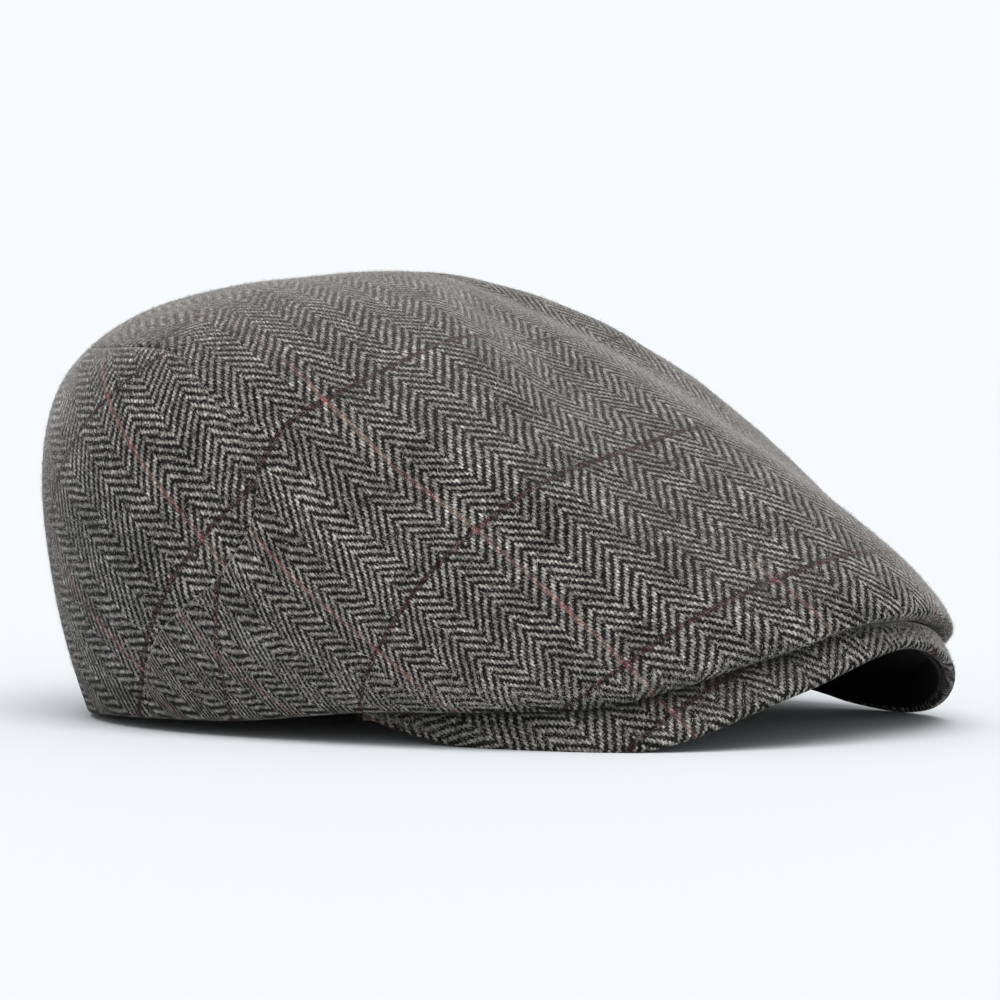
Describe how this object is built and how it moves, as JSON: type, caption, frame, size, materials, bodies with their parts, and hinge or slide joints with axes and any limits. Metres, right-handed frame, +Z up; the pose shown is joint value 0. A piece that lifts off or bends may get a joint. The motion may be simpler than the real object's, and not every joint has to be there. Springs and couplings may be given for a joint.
{
  "type": "flat cap",
  "caption": "Flat cap of grey herringbone tweed: soft sloping crown of three panels pulled forward over a stiff arched peak, hollow inside, resting on its rim.",
  "frame": {"origin": "middle of the cap's length and width, at the height of the surface that it rests on", "axes": "+X towards the wearer's left, -Y forward along the peak, +Z up"},
  "size_m": [0.1988, 0.25, 0.1187],
  "materials": {
    "tweed": "matte, napped wool herringbone in grey and black with a faint pink and maroon overcheck",
    "facing_cloth": "matte, plain black cloth"
  },
  "bodies": {
    "root": {"crown_main": "tweed", "crown_back_right": "tweed", "crown_back_left": "tweed", "peak": "tweed", "peak_facing": "facing_cloth"}
  },
  "joints": []
}
